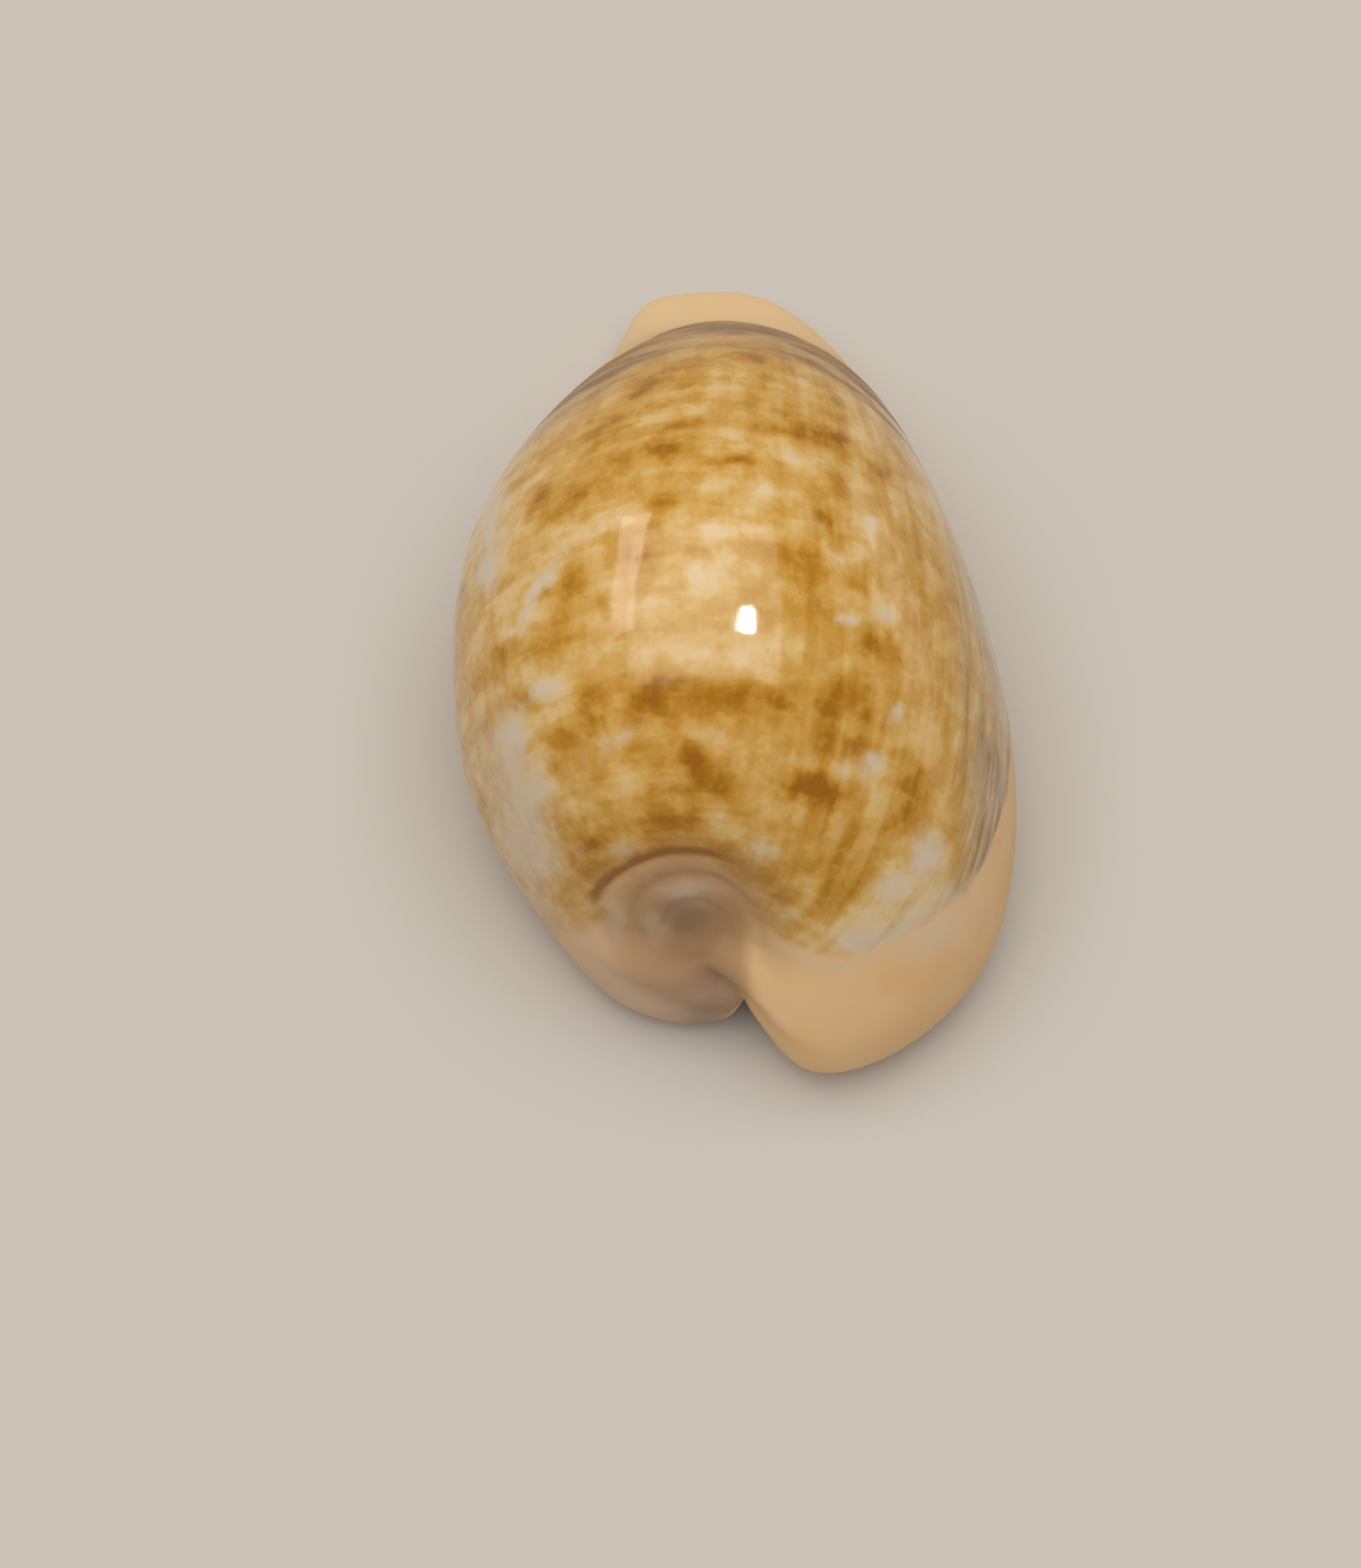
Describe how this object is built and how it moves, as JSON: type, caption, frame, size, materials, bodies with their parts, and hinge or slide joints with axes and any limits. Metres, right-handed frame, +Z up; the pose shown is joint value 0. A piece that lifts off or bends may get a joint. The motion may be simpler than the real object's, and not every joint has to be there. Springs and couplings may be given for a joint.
{
  "type": "cowrie shell",
  "caption": "Large egg-shaped cowrie shell with a glossy domed back, a flatter toothed base with a slit aperture, and a hollow last whorl.",
  "frame": {"origin": "on the ground plane, under the middle of the shell's bounding box", "axes": "+Z up from the toothed base to the top of the back; +Y from the wide rear end with the spire pit to the narrow front end; +X from the inner (columellar) side to the outer lip"},
  "size_m": [0.0598, 0.095, 0.0496],
  "materials": {
    "polished_shell": "glossy natural glaze: caramel blotches and fine bands on cream, with a plain pale apricot base and margins"
  },
  "bodies": {
    "root": {"shell": "polished_shell"}
  },
  "joints": []
}
